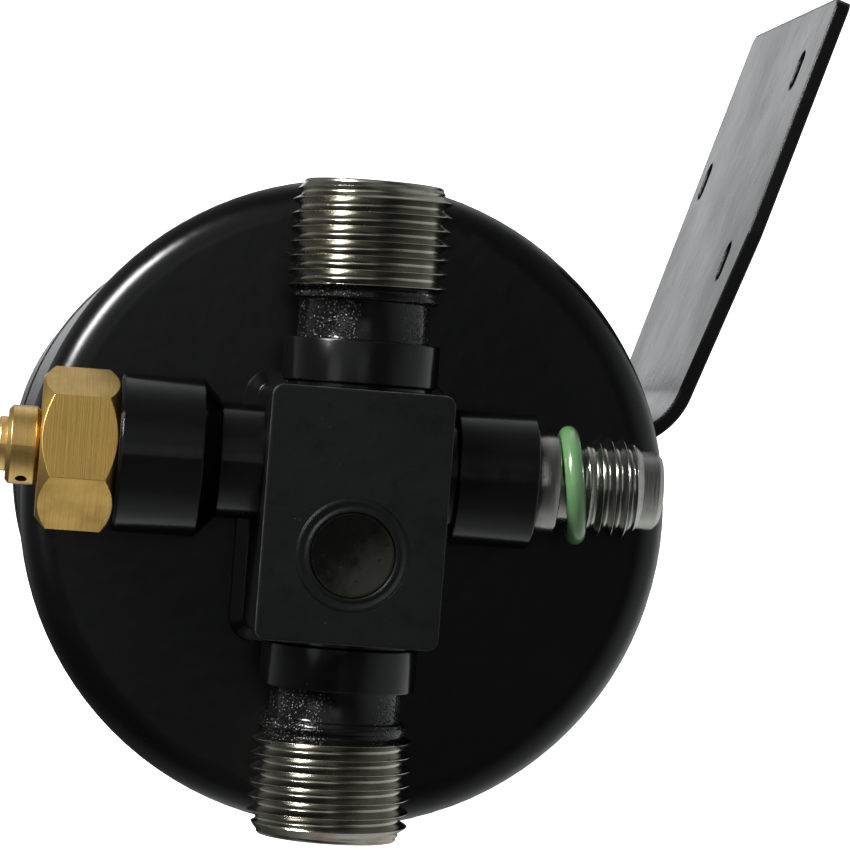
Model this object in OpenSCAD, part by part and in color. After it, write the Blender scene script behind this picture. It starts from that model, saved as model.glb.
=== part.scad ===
// Receiver-drier: a steel canister with a header block on its head, two male refrigerant ports,
// a relief valve, a switch port with a valve core, a sight glass and a mounting bracket.
// +Z runs up the canister's axis, the origin is the centre of its base,
// +X points to the switch port and +Y to the inlet port.

/* [Canister] */
// Height from the base to the flat of the head
can_h = 240; // [200:1:300]
// Outer diameter of the canister
can_d = 66.1; // [58:0.1:84]
// Wall of the two drawn shells
shell_t = 2; // [1.6:0.1:2.4]
// Thickness of the head
head_t = 3; // [2:0.1:4]
// Thickness of the base
base_t = 2.5; // [2:0.1:4]
// Outer corner radius of the head
head_r = 3.4; // [2.6:0.1:6]
// Outer corner radius of the base
base_r = 6; // [4:0.5:8]
// Height of the girth weld above the base
seam_z = 118; // [90:1:130]
// Width of the girth weld
seam_w = 6; // [4:0.5:8]
// Height that the girth weld stands proud of the shells
seam_rise = 0.3; // [0.2:0.1:1.5]

/* [Header block] */
// Width of the block, along X
block_x = 17.8; // [16:0.1:22]
// Length of the block, along Y
block_y = 24.7; // [23:0.1:30]
// Height of the block above the head
block_h = 18; // [17.5:0.1:24]
// Radius of the block's upright edges
block_r = 1.1; // [0.5:0.1:2]
// Offset of the block from the canister's axis, along X
block_off_x = -0.9; // [-2:0.1:2]
// Offset of the block from the canister's axis, along Y
block_off_y = -0.75; // [-2:0.05:2]
// Height of the ports' axes above the head
port_rise = 9; // [8.8:0.1:10]
// Offset of the inlet and outlet chambers from the block's middle, along Y
chamber_off = 4.5; // [4.4:0.1:5]
// Diameter of the inlet chamber
chamber_d = 6; // [5:0.1:6.5]
// Leg of the weld fillet around the block's foot
foot_weld = 1.4; // [0.8:0.1:2]

/* [Refrigerant ports] */
// Offset of the two ports' axis from the block's middle, along X
port_off = 0.28; // [-1:0.02:1]
// Major diameter of the port thread (5/8-18)
port_thread_d = 15.875; // [14:0.005:19.05]
// Pitch of the port thread
port_pitch = 1.411; // [1.2:0.001:1.6]
// Number of thread turns on the inlet
inlet_turns = 8; // [5:1:9]
// Number of thread turns on the outlet
outlet_turns = 7; // [5:1:9]
// Diameter of the plain band at the ports' ends
port_end_d = 13.8; // [12:0.1:14]
// Length of that plain band
port_land = 0.3; // [0.1:0.05:2]
// Diameter of the collar against the block
collar_d = 15.4; // [14:0.1:17]
// Length of the collar
collar_len = 4.75; // [3:0.05:7]
// Diameter of the neck between collar and thread
neck_d = 13; // [11.5:0.1:14]
// Length of the inlet's neck
inlet_neck_len = 4; // [3:0.05:8]
// Length of the outlet's neck
outlet_neck_len = 4.55; // [3:0.05:8]
// Diameter of the pilot bore in the end of a port
pilot_d = 9.8; // [9:0.1:10.5]
// Depth of the pilot bore
pilot_depth = 10; // [6:0.5:14]
// Diameter of the passage behind the pilot bore
passage_d = 7; // [5:0.1:7.5]
// Diameter of the spigot that is brazed into the block
port_spigot_d = 10.4; // [9:0.1:10.6]
// Depth of that spigot in the block
port_spigot_len = 3.6; // [2:0.1:3.8]

/* [Relief valve] */
// Offset of the relief and switch ports from the block's middle, along Y
side_off = 4.5; // [4:0.1:5]
// Diameter of the neck of the relief boss
relief_neck_d = 11.4; // [10:0.1:13]
// Length of the neck of the relief boss
relief_neck_len = 4.2; // [3:0.1:6]
// Length of the cone behind the relief boss's head
relief_cone_len = 1.6; // [1:0.1:3]
// Diameter of the relief boss's head
relief_boss_d = 15.6; // [14.5:0.1:17]
// Length of the relief boss's head
relief_boss_len = 8.4; // [7:0.1:10]
// Hexagon across its flats
relief_hex_af = 14; // [13:0.5:17]
// Length of the hexagon
relief_hex_len = 7.5; // [6:0.1:9]
// Turn of the hexagon about its axis
relief_hex_turn = 40; // [0:0.1:59]
// Diameter of the valve's stem in the boss
relief_stem_d = 10; // [9.4:0.1:10.6]
// Length of that stem
relief_stem_len = 8.4; // [7:0.1:9]
// Diameter of the valve's seat orifice
orifice_d = 3.4; // [2.5:0.1:4]
// Diameter of the chamber that guides the poppet
guide_d = 6.2; // [5.8:0.1:6.6]
// Diameter of the turned cap
cap_d = 7.75; // [7.4:0.05:9]
// Length of the turned cap
cap_len = 3.15; // [2.5:0.05:5]
// Length of the cap's plug inside the hexagon
cap_plug_len = 2; // [1.5:0.1:3]
// Diameter of the vent hole across the cap
vent_d = 1.1; // [0.8:0.1:1.5]
// Turn of the vent hole about the valve's axis
vent_turn = 58; // [0:1:90]
// Diameter of the end plug's disc
end_disc_d = 5.35; // [4.5:0.05:6.5]
// Thickness of the end plug's disc
end_disc_t = 0.85; // [0.5:0.05:1.5]
// Wire of the relief spring
relief_wire = 0.7; // [0.5:0.05:0.8]

/* [Switch port] */
// Diameter of the switch boss
switch_boss_d = 13.4; // [12.5:0.1:15]
// Length of the switch boss with its foot
switch_boss_len = 9.1; // [8:0.1:12]
// Diameter of the switch boss's narrower foot
switch_foot_d = 11; // [10:0.1:12.4]
// Length of that foot
switch_foot_len = 1.1; // [0.8:0.1:2]
// Diameter of the adapter's shoulder
shoulder_d = 10.15; // [9.6:0.05:11]
// Length of the adapter's shoulder
shoulder_len = 2.4; // [1.5:0.1:3]
// Diameter of the adapter's neck, under the O-ring
adapter_neck_d = 7.6; // [7.2:0.1:8]
// Length of the adapter's neck, up to the thread
adapter_neck_len = 4.6; // [4:0.1:5]
// Major diameter of the switch thread (M10)
switch_thread_d = 9.8; // [9.2:0.05:10]
// Pitch of the switch thread
switch_pitch = 1.25; // [1:0.25:1.5]
// Number of turns of the switch thread
switch_turns = 3; // [2:1:5]
// Diameter of the plain tip past the thread
tip_d = 7.8; // [7.6:0.1:8.2]
// Length of the plain tip
tip_len = 2.15; // [1.5:0.05:3]
// Section of the switch port's O-ring
oring_t = 1.9; // [1.6:0.1:2.1]
// Mean diameter of the O-ring as it sits
oring_mean_d = 9.95; // [9.8:0.05:10.6]
// Lean of the O-ring: its side towards +Y sits nearer the block
oring_lean = 8; // [0:1:8]
// Nod of the O-ring: its upper side sits nearer the block
oring_nod = 5; // [0:1:5]
// Bore for the valve core
core_d = 5.3; // [5:0.1:5.6]
// Length of the valve core's barrel
core_len = 7.4; // [6.5:0.1:8]
// Diameter of the valve core's pin
core_pin_d = 1.3; // [1:0.1:1.5]
// Travel of the valve core's pin
core_travel = 1; // [0.6:0.1:1.2]

/* [Sight glass] */
// Offset of the sight glass from the block's middle, along Y (towards the outlet)
sight_off = 3.65; // [3:0.05:4.5]
// Diameter of the pocket for the glass
sight_pocket_d = 10.1; // [9.5:0.1:11]
// Clear opening of the retaining ring
sight_clear_d = 8.3; // [7.5:0.1:8.8]
// Thickness of the retaining ring
sight_ring_t = 0.8; // [0.5:0.1:1.2]
// Thickness of the glass
sight_glass_t = 1.8; // [1.2:0.1:2.2]
// Thickness of the seal under the glass
sight_seal_t = 0.6; // [0.4:0.1:0.8]
// Depth that the ring sits below the block's face
sight_recess = 0.25; // [0.1:0.05:0.5]
// Width of the countersink around the glass
sight_sink = 0.35; // [0:0.05:0.6]
// Diameter of the opening under the glass
sight_hole_d = 6.4; // [5:0.1:7]

/* [Inside the canister] */
// Outer diameter of the pick-up tube
tube_d = 8; // [6:0.5:8]
// Wall of the pick-up tube
tube_t = 1; // [0.8:0.1:1.2]
// Height of the tube's foot above the inside of the base
tube_lift = 9; // [6:0.5:14]
// Diameter of the strainer
strainer_d = 17; // [14:0.5:20]
// Height of the strainer
strainer_h = 15; // [12:0.5:20]
// Height of the lower plate above the inside of the base
bed_floor = 24; // [20:1:32]
// Thickness of each perforated plate
plate_t = 1.2; // [0.8:0.1:2]
// Diameter of the holes in the plates
plate_hole_d = 4; // [3:0.1:5]
// Thickness of each filter pad
pad_t = 6; // [4:0.5:10]
// Height of the desiccant bed
bed_h = 125; // [90:1:140]
// Outer diameter of the hold-down spring
bed_spring_d = 46; // [40:0.5:50]
// Wire of the hold-down spring
bed_wire = 2.4; // [1.8:0.1:3]

/* [Mounting bracket] */
// Sheet thickness
sheet_t = 1.5; // [1.2:0.1:2]
// Direction in which the plate points, from +X
plate_dir = 73; // [60:0.5:85]
// Distance by which the plate's outer face lies inside the canister's side
plate_inset = 1.15; // [-5:0.05:3]
// Distance along the plate from the canister's axis to the bend
plate_root = 24.4; // [22:0.1:30]
// Distance along the plate from the canister's axis to its end
plate_end = 69; // [60:0.5:90]
// Width of the plate
plate_w = 42; // [36:0.5:50]
// Depth of the plate's top edge below the head
plate_drop = 11; // [10:0.5:14]
// Depth by which the top edge falls towards the bend
root_drop = 4.5; // [2:0.5:6]
// Radius of the plate's corners
plate_corner_r = 1.2; // [0.8:0.1:4]
// Outer radius of the bend between plate and leg
bend_r = 9; // [7:0.5:12]
// Inner radius of the bend between leg and foot
foot_bend_r = 1.5; // [1:0.1:2]
// Angle that the foot covers on the canister
foot_angle = 24; // [15:1:40]
// Length of the bracket's slots, along the plate
slot_len = 4.5; // [3.5:0.1:6.5]
// Width of the bracket's slots
slot_w = 2.4; // [2:0.1:3.4]
// Distance along the plate from the canister's axis to the nearer upper slot
hole_near = 39.2; // [36:0.1:42]
// Distance between the two upper slots
hole_pitch = 22.2; // [18:0.1:24]
// Depth of the upper slots below the plate's top edge
hole_top = 7.6; // [6:0.1:12]
// Depth of the lower slot below the upper slots
hole_drop = 30; // [20:0.5:31]
// Leg of the weld beads along the foot
bracket_bead = 1.5; // [0.8:0.1:2]

/* [Hidden] */
$fn = 96;

// Clearances
braze_gap = 0.05;      // radial gap of a brazed or screwed spigot
running_gap = 0.07;    // radial gap of a sliding poppet or pin
soft_gap = 0.3;        // gap around soft or loose pieces
edge_break = 0.4;      // chamfer of the cap's edges
fine_break = 0.15;     // chamfer of a crisp turned edge
round_break = 0.3;     // chamfer of a softer turned edge
lap = 0.01;            // extra length of a cutting tool

// One thread ridge, in pitches: [depth below the crest, place along the axis]
ridge = [[0.62, 0.08], [0, 0.45], [0, 0.55], [0.62, 0.92]];
// The girth weld: [share of its rise, share of its width]
weld_bead = [[0, -0.5], [0.7, -0.28], [1, -0.08], [1, 0.08], [0.7, 0.28], [0, 0.5]];
// Rings of holes in the plates: [number, share of the canister's inner radius]
hole_rings = [[6, 0.42], [12, 0.76]];
seat_gap = 0.03;       // gap where the leaning O-ring rests on its shoulder

// Canister
can_r = can_d / 2;
inner_r = can_r - shell_t;
head_z = can_h;
ceiling_z = can_h - head_t;

// Header block
axis_z = head_z + port_rise;
block_top = head_z + block_h;
port_x = block_off_x + port_off;
side_y = block_off_y + side_off;
inlet_y = block_off_y + chamber_off;
outlet_y = block_off_y - chamber_off;
sight_y = block_off_y - sight_off;
sight_floor = block_top - sight_recess - sight_ring_t - sight_glass_t - sight_seal_t;

// Side bosses: depths from the block's side
side_spigot_d = 7;
side_spigot_len = 2.3;
side_hole_d = 4.4;
relief_face = relief_neck_len + relief_cone_len + relief_boss_len;
relief_gland_t = 1.3;
stem_relief = 0.6;
relief_pocket_len = relief_stem_len + stem_relief;
relief_gland_d = relief_stem_d + 2 * relief_gland_t;
relief_gland_len = 1.5;
relief_oring_t = 1.2;

// Relief valve: stations along its axis, from the face of the boss
seat_z = -relief_stem_len + 3;
seat_rise = 0.4;
poppet_z = seat_z + seat_rise;
poppet_len = 2.4;
poppet_d = guide_d - 2 * running_gap;
seal_t = 0.8;
seal_d = orifice_d + 1.3;
spring_guide_d = 2.6;
cap_plug_z = relief_hex_len - cap_plug_len;
end_bore_d = end_disc_d - 1.6;
relief_spring_d = guide_d - 2 * soft_gap;

// Switch adapter: stations along its axis, from the face of the boss
adapter_stem_d = 8.9;
adapter_stem_len = 5.6;
adapter_well = 0.5;
adapter_hole_d = 3;
thread_z = shoulder_len + adapter_neck_len;
tip_z = thread_z + switch_turns * switch_pitch;
adapter_len = tip_z + tip_len;
oring_tilt = norm([oring_lean, oring_nod]);
oring_z = shoulder_len + oring_t / 2 + sin(oring_tilt) * oring_mean_d / 2 + seat_gap;
core_recess = 0.9;
core_top = adapter_len - core_recess;
core_bottom = core_top - core_len;
core_nose_len = 3.2;
core_nose_d = core_d - 1.1;
core_gasket_len = 1.2;
core_gasket_t = 0.25;
core_cup_d = 4;
core_cup_t = 1.2;
core_washer_t = 0.8;
core_well_d = 3.7;
core_well_len = 4;
core_head_d = 3.2;
core_head_t = 0.5;
core_pin_proud = 0.5;
core_wire = 0.3;
core_washer_bottom = core_bottom - core_washer_t;
core_cup_bottom = core_washer_bottom - core_cup_t;
core_head_z = core_top - core_recess - core_head_t;

// Stack inside the canister
floor_z = base_t;
lower_plate_z = floor_z + bed_floor;
lower_pad_z = lower_plate_z + plate_t;
bed_z = lower_pad_z + pad_t;
upper_pad_z = bed_z + bed_h;
upper_plate_z = upper_pad_z + pad_t;
bed_spring_z = upper_plate_z + plate_t;
stack_r = inner_r - soft_gap;
skirt_r = inner_r - base_r + shell_t - 1;
skirt_window = 12;
skirt_foot = 4;
skirt_head = 6;
skirt_t = 1.2;
tube_foot = floor_z + tube_lift;
tube_socket_len = 5;
strainer_gap = 5;

// Bracket: across (local X, away from the canister) and along (local Y, towards the plate's end)
plate_top_z = head_z - plate_drop;
plate_bottom_z = plate_top_z - plate_w;
plate_face = can_r - plate_inset;
plate_mid = plate_face - sheet_t / 2;
bend_mid_r = bend_r - sheet_t / 2;
foot_mid_r = foot_bend_r + sheet_t / 2;
foot_r = can_r + braze_gap + sheet_t / 2;
bend_centre = [plate_mid - bend_mid_r, plate_root];
bend_reach = norm(bend_centre);
foot_reach = foot_r + foot_mid_r;
bend_sum = bend_mid_r + foot_mid_r;
reach_gap = acos((bend_reach^2 + foot_reach^2 - bend_sum^2) / (2 * bend_reach * foot_reach));
foot_start = atan2(bend_centre[1], bend_centre[0]) - reach_gap;
foot_centre = foot_reach * [cos(foot_start), sin(foot_start)];
join_dir = foot_centre - bend_centre;
join_angle = atan2(join_dir[1], join_dir[0]);
bracket_turn = plate_dir - 90;
bend_steps = 24;

// ---------- placing ----------

// Local +Z points away from the block, local z = 0 lies on the block's side
module towards_inlet() {
    translate([port_x, block_off_y + block_y / 2, axis_z]) rotate([-90, 0, 0]) children();
}

module towards_outlet() {
    translate([port_x, block_off_y - block_y / 2, axis_z]) rotate([90, 0, 0]) children();
}

module towards_relief() {
    translate([block_off_x - block_x / 2, side_y, axis_z]) rotate([0, -90, 0]) children();
}

module towards_switch() {
    translate([block_off_x + block_x / 2, side_y, axis_z]) rotate([0, 90, 0]) children();
}

// Local z = 0 lies on the outer face of the relief boss
module on_relief_face() {
    towards_relief() translate([0, 0, relief_face]) children();
}

// Local z = 0 lies on the outer face of the switch boss
module on_switch_face() {
    towards_switch() translate([0, 0, switch_boss_len]) children();
}

// Local X points across the plate, local Y along it
module on_bracket() {
    rotate([0, 0, bracket_turn]) children();
}

// ---------- shared shapes ----------

// A turned solid from [radius, height] points
module turned(points) {
    rotate_extrude() polygon(points);
}

// A drill: a cylinder that runs past both of its ends
module drill(d, z0, z1) {
    translate([0, 0, z0 - lap]) cylinder(d = d, h = z1 - z0 + 2 * lap);
}

// A 45 degree countersink that widens upwards from z = 0
module countersink(d, depth) {
    cylinder(d1 = d, d2 = d + 2 * (depth + lap), h = depth + lap);
}

// Outline of annular thread ridges
function thread_outline(major, pitch, turns, z0) = [
    for (i = [0:turns - 1])
        for (p = ridge) [major / 2 - p[0] * pitch, z0 + (i + p[1]) * pitch]
];

// A helical spring of round wire that fills the height from z0 to z1
module coil(d, wire, z0, z1, turns, per_turn = 18, sides = 6) {
    steps = round(turns * per_turn);
    r = (d - wire) / 2;
    low = z0 + wire / 2;
    high = z1 - wire / 2;
    points = [
        for (i = [0:steps])
            let (
                t = i / steps,
                out = [cos(360 * turns * t), sin(360 * turns * t), 0],
                c = r * out + [0, 0, low + (high - low) * t]
            )
                for (s = [0:sides - 1])
                    c + wire / 2 * (cos(360 * s / sides) * out + [0, 0, sin(360 * s / sides)])
    ];
    sides_faces = [
        for (i = [0:steps - 1])
            for (s = [0:sides - 1])
                let (a = i * sides + s, b = i * sides + (s + 1) % sides)
                    [a, b, b + sides, a + sides]
    ];
    start_face = [[for (s = [0:sides - 1]) sides - 1 - s]];
    end_face = [[for (s = [0:sides - 1]) steps * sides + s]];
    polyhedron(points, concat(sides_faces, start_face, end_face), convexity = 10);
}

// Plan of the block: a rectangle with round corners
module block_plan() {
    w = block_x / 2 - block_r;
    l = block_y / 2 - block_r;
    square([block_x, 2 * l], center = true);
    square([2 * w, block_y], center = true);
    for (x = [-w, w], y = [-l, l]) translate([x, y]) circle(r = block_r);
}

// Holes of a perforated plate: two rings and the hole of the pick-up tube
module plate_holes(z0, z1) {
    for (ring = hole_rings)
        for (i = [0:ring[0] - 1])
            rotate([0, 0, (i + 0.5) * 360 / ring[0]])
                translate([ring[1] * inner_r, 0, 0]) drill(plate_hole_d, z0, z1);
    translate([block_off_x, outlet_y, 0]) drill(tube_d + 2 * soft_gap, z0, z1);
}

// ---------- canister ----------

module lower_shell() {
    inner_corner = base_r - shell_t;
    color([0.07, 0.07, 0.07]) difference() {
        rotate_extrude() {
            square([can_r - base_r, base_r]);
            translate([0, base_r]) square([can_r, seam_z - base_r]);
            intersection() {
                translate([can_r - base_r, base_r]) circle(r = base_r);
                translate([can_r - base_r, 0]) square(base_r);
            }
        }
        rotate_extrude() {
            translate([0, floor_z]) square([inner_r - inner_corner, inner_corner + lap]);
            translate([0, floor_z + inner_corner]) square([inner_r, seam_z]);
            intersection() {
                translate([inner_r - inner_corner, floor_z + inner_corner]) circle(r = inner_corner);
                translate([inner_r - inner_corner, floor_z]) square(inner_corner);
            }
        }
    }
}

module upper_shell() {
    inner_corner = head_r - shell_t;
    color([0.07, 0.07, 0.07]) difference() {
        rotate_extrude() {
            translate([0, head_z - head_r]) square([can_r - head_r, head_r]);
            translate([0, seam_z]) square([can_r, head_z - head_r - seam_z]);
            intersection() {
                translate([can_r - head_r, head_z - head_r]) circle(r = head_r);
                translate([can_r - head_r, head_z - head_r]) square(head_r);
            }
        }
        rotate_extrude() {
            translate([0, seam_z - lap]) square([inner_r, ceiling_z - inner_corner - seam_z + lap]);
            translate([0, ceiling_z - inner_corner - lap])
                square([inner_r - inner_corner, inner_corner + lap]);
            intersection() {
                translate([inner_r - inner_corner, ceiling_z - inner_corner]) circle(r = inner_corner);
                translate([inner_r - inner_corner, ceiling_z - inner_corner]) square(inner_corner);
            }
        }
        translate([block_off_x, inlet_y, 0]) drill(chamber_d, ceiling_z, head_z);
        translate([block_off_x, outlet_y, 0]) drill(tube_d + 2 * braze_gap, ceiling_z, head_z);
    }
}

module girth_weld() {
    color([0.09, 0.09, 0.09]) rotate_extrude()
        polygon([for (p = weld_bead) [can_r + p[0] * seam_rise, seam_z + p[1] * seam_w]]);
}

// ---------- header block ----------

module header_block() {
    color([0.12, 0.12, 0.12]) difference() {
        translate([block_off_x, block_off_y, head_z]) linear_extrude(block_h) block_plan();
        // chambers from below
        translate([block_off_x, inlet_y, 0]) drill(chamber_d, head_z, axis_z);
        translate([block_off_x, outlet_y, 0])
            drill(tube_d + 2 * braze_gap, head_z, head_z + tube_socket_len);
        translate([block_off_x, outlet_y, 0]) drill(chamber_d, head_z, axis_z);
        // sockets and passages of the four ports
        towards_inlet() drill(port_spigot_d + 2 * braze_gap, -port_spigot_len, 0);
        towards_inlet() drill(chamber_d, chamber_off - block_y / 2, 0);
        towards_outlet() drill(port_spigot_d + 2 * braze_gap, -port_spigot_len, 0);
        towards_outlet() drill(chamber_d, chamber_off - block_y / 2, 0);
        towards_relief() drill(side_spigot_d + 2 * braze_gap, -side_spigot_len, 0);
        towards_relief() drill(side_hole_d, -block_x / 2, 0);
        towards_switch() drill(side_spigot_d + 2 * braze_gap, -side_spigot_len, 0);
        towards_switch() drill(side_hole_d, -block_x / 2, 0);
        // sight glass pocket and the opening under it
        translate([block_off_x, sight_y, 0]) {
            drill(sight_pocket_d, sight_floor, block_top);
            drill(sight_hole_d, axis_z, block_top);
            translate([0, 0, block_top - sight_sink]) countersink(sight_pocket_d, sight_sink);
        }
    }
}

// Weld fillet around the block's foot: four straight runs and four round corners
module block_weld() {
    w = block_x / 2 - block_r;
    l = block_y / 2 - block_r;
    profile = [[block_r, 0], [block_r + foot_weld, 0], [block_r, foot_weld]];
    color([0.1, 0.1, 0.1]) translate([block_off_x, block_off_y, head_z]) {
        for (c = [[w, l, 0], [-w, l, 90], [-w, -l, 180], [w, -l, 270]])
            translate([c[0], c[1], 0]) rotate([0, 0, c[2]]) rotate_extrude(angle = 90) polygon(profile);
        for (c = [[0, l, 90, w], [0, -l, 270, w], [w, 0, 0, l], [-w, 0, 180, l]])
            translate([c[0], c[1], 0]) rotate([0, 0, c[2]])
                translate([0, c[3], 0]) rotate([90, 0, 0]) linear_extrude(2 * c[3]) polygon(profile);
    }
}

// ---------- refrigerant ports ----------

module port_fitting(neck_len, turns) {
    thread_z0 = collar_len + neck_len;
    end_z = thread_z0 + turns * port_pitch + port_land;
    foot_len = 0.5;
    foot_in = 0.5;
    difference() {
        turned(concat(
            [[0, -port_spigot_len], [port_spigot_d / 2, -port_spigot_len], [port_spigot_d / 2, 0]],
            [[collar_d / 2 - foot_in, 0], [collar_d / 2 - foot_in, foot_len]],
            [[collar_d / 2, foot_len], [collar_d / 2, collar_len - fine_break]],
            [[collar_d / 2 - fine_break, collar_len], [neck_d / 2, collar_len]],
            [[neck_d / 2, thread_z0]],
            thread_outline(port_thread_d, port_pitch, turns, thread_z0),
            [[port_end_d / 2, end_z - port_land], [port_end_d / 2, end_z], [0, end_z]]
        ));
        drill(passage_d, -port_spigot_len, end_z);
        drill(pilot_d, end_z - pilot_depth, end_z);
    }
}

module inlet_fitting() {
    color([0.62, 0.6, 0.56]) towards_inlet() port_fitting(inlet_neck_len, inlet_turns);
}

module outlet_fitting() {
    color([0.62, 0.6, 0.56]) towards_outlet() port_fitting(outlet_neck_len, outlet_turns);
}

// ---------- relief valve ----------

module relief_boss() {
    cone_z = relief_neck_len;
    head_z0 = relief_neck_len + relief_cone_len;
    edge = round_break;
    color([0.07, 0.07, 0.07]) towards_relief() difference() {
        turned([
            [0, -side_spigot_len], [side_spigot_d / 2, -side_spigot_len], [side_spigot_d / 2, 0],
            [relief_neck_d / 2, 0], [relief_neck_d / 2, cone_z],
            [relief_boss_d / 2 - edge, head_z0], [relief_boss_d / 2, head_z0 + edge],
            [relief_boss_d / 2, relief_face - edge], [relief_boss_d / 2 - edge, relief_face],
            [0, relief_face]
        ]);
        drill(side_hole_d, -side_spigot_len, relief_face);
        drill(relief_stem_d + 2 * braze_gap, relief_face - relief_pocket_len, relief_face);
        drill(relief_gland_d, relief_face - relief_gland_len, relief_face);
    }
}

module relief_body() {
    chamfer_run = 1.1;
    lip = 0.4;
    corner_r = relief_hex_af / 2 / cos(30);
    face_r = relief_hex_af / 2 - fine_break;
    color([0.72, 0.56, 0.3]) on_relief_face() difference() {
        union() {
            translate([0, 0, -relief_stem_len]) cylinder(d = relief_stem_d, h = relief_stem_len + lap);
            intersection() {
                rotate([0, 0, relief_hex_turn])
                    cylinder(r = corner_r, h = relief_hex_len, $fn = 6);
                turned([
                    [0, 0], [face_r, 0], [corner_r + lap, chamfer_run],
                    [corner_r + lap, relief_hex_len - chamfer_run], [face_r, relief_hex_len],
                    [0, relief_hex_len]
                ]);
            }
        }
        drill(orifice_d, -relief_stem_len, seat_z + seat_rise);
        // the chamber leaves the seat's lip standing
        difference() {
            drill(guide_d, seat_z, relief_hex_len);
            translate([0, 0, seat_z - 2 * lap]) cylinder(d = orifice_d + 2 * lip, h = seat_rise + 2 * lap);
        }
    }
}

module relief_oring() {
    mean_r = (relief_stem_d + relief_gland_d) / 4;
    color([0.05, 0.05, 0.05]) on_relief_face()
        translate([0, 0, -relief_gland_len / 2]) rotate_extrude()
            translate([mean_r, 0]) circle(d = relief_oring_t);
}

module relief_poppet() {
    face_gap = 0.15;
    guide_len = 1.6;
    color([0.75, 0.6, 0.35]) on_relief_face() translate([0, 0, poppet_z]) difference() {
        union() {
            translate([0, 0, face_gap]) cylinder(d = poppet_d, h = poppet_len - face_gap);
            translate([0, 0, seal_t]) cylinder(d = spring_guide_d, h = poppet_len + guide_len - seal_t);
        }
        translate([0, 0, -lap]) cylinder(d = seal_d + 2 * braze_gap, h = seal_t + lap);
    }
}

module relief_seal() {
    color([0.06, 0.06, 0.06]) on_relief_face()
        translate([0, 0, poppet_z]) cylinder(d = seal_d, h = seal_t);
}

module relief_spring() {
    color([0.7, 0.7, 0.7]) on_relief_face()
        coil(relief_spring_d, relief_wire, poppet_z + poppet_len, cap_plug_z, 5, 16);
}

module relief_cap() {
    plug_d = guide_d - 2 * braze_gap;
    top = relief_hex_len + cap_len;
    color([0.75, 0.6, 0.35]) on_relief_face() difference() {
        turned([
            [0, cap_plug_z], [plug_d / 2, cap_plug_z], [plug_d / 2, relief_hex_len],
            [cap_d / 2 - edge_break, relief_hex_len], [cap_d / 2, relief_hex_len + edge_break],
            [cap_d / 2, top - edge_break], [cap_d / 2 - edge_break, top], [0, top]
        ]);
        drill(end_bore_d, cap_plug_z, top);
        translate([0, 0, relief_hex_len + cap_len / 2]) rotate([0, 0, -vent_turn]) rotate([0, 90, 0])
            translate([0, 0, -cap_d]) cylinder(d = vent_d, h = 2 * cap_d);
    }
}

module relief_end_plug() {
    top = relief_hex_len + cap_len;
    plug_d = end_bore_d - 2 * braze_gap;
    plug_len = 0.8;
    color([0.6, 0.58, 0.5]) on_relief_face() turned([
        [0, top - plug_len], [plug_d / 2, top - plug_len], [plug_d / 2, top], [end_disc_d / 2, top],
        [end_disc_d / 2, top + end_disc_t - fine_break],
        [end_disc_d / 2 - fine_break, top + end_disc_t], [0, top + end_disc_t]
    ]);
}

// ---------- switch port ----------

module switch_boss() {
    edge = fine_break;
    color([0.07, 0.07, 0.07]) towards_switch() difference() {
        turned([
            [0, -side_spigot_len], [side_spigot_d / 2, -side_spigot_len], [side_spigot_d / 2, 0],
            [switch_foot_d / 2, 0], [switch_foot_d / 2, switch_foot_len],
            [switch_boss_d / 2 - edge, switch_foot_len], [switch_boss_d / 2, switch_foot_len + edge],
            [switch_boss_d / 2, switch_boss_len - edge], [switch_boss_d / 2 - edge, switch_boss_len],
            [0, switch_boss_len]
        ]);
        drill(side_hole_d, -side_spigot_len, switch_boss_len);
        drill(
            adapter_stem_d + 2 * braze_gap, switch_boss_len - adapter_stem_len - adapter_well,
            switch_boss_len
        );
    }
}

module switch_adapter() {
    color([0.62, 0.6, 0.56]) on_switch_face() difference() {
        turned(concat(
            [[0, -adapter_stem_len], [adapter_stem_d / 2, -adapter_stem_len], [adapter_stem_d / 2, 0]],
            [[shoulder_d / 2, 0], [shoulder_d / 2, shoulder_len - fine_break]],
            [[shoulder_d / 2 - fine_break, shoulder_len], [adapter_neck_d / 2, shoulder_len]],
            [[adapter_neck_d / 2, thread_z]],
            thread_outline(switch_thread_d, switch_pitch, switch_turns, thread_z),
            [[tip_d / 2, tip_z], [tip_d / 2, adapter_len - edge_break]],
            [[tip_d / 2 - edge_break, adapter_len], [0, adapter_len]]
        ));
        drill(adapter_hole_d, -adapter_stem_len, core_bottom);
        drill(core_nose_d + 2 * soft_gap, core_cup_bottom - core_travel - 1, core_top);
        drill(core_d + 2 * braze_gap, core_bottom + core_nose_len, adapter_len);
    }
}

module switch_oring() {
    color([0.25, 0.6, 0.25]) on_switch_face() translate([0, 0, oring_z])
        rotate([-oring_lean, -oring_nod, 0])
            rotate_extrude() translate([oring_mean_d / 2, 0]) circle(d = oring_t);
}

module core_barrel() {
    color([0.78, 0.68, 0.4]) on_switch_face() difference() {
        turned([
            [0, core_bottom], [core_nose_d / 2, core_bottom],
            [core_nose_d / 2, core_bottom + core_nose_len],
            [core_d / 2, core_bottom + core_nose_len], [core_d / 2, core_top], [0, core_top]
        ]);
        drill(core_pin_d + 2 * running_gap, core_bottom, core_top);
        drill(core_well_d, core_top - core_well_len, core_top);
    }
}

module core_gasket() {
    top = core_bottom + core_nose_len - braze_gap;
    color([0.85, 0.3, 0.2]) on_switch_face() difference() {
        translate([0, 0, top - core_gasket_len])
            cylinder(d = core_nose_d + 2 * core_gasket_t, h = core_gasket_len);
        drill(core_nose_d + 2 * braze_gap, core_bottom, top);
    }
}

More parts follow.
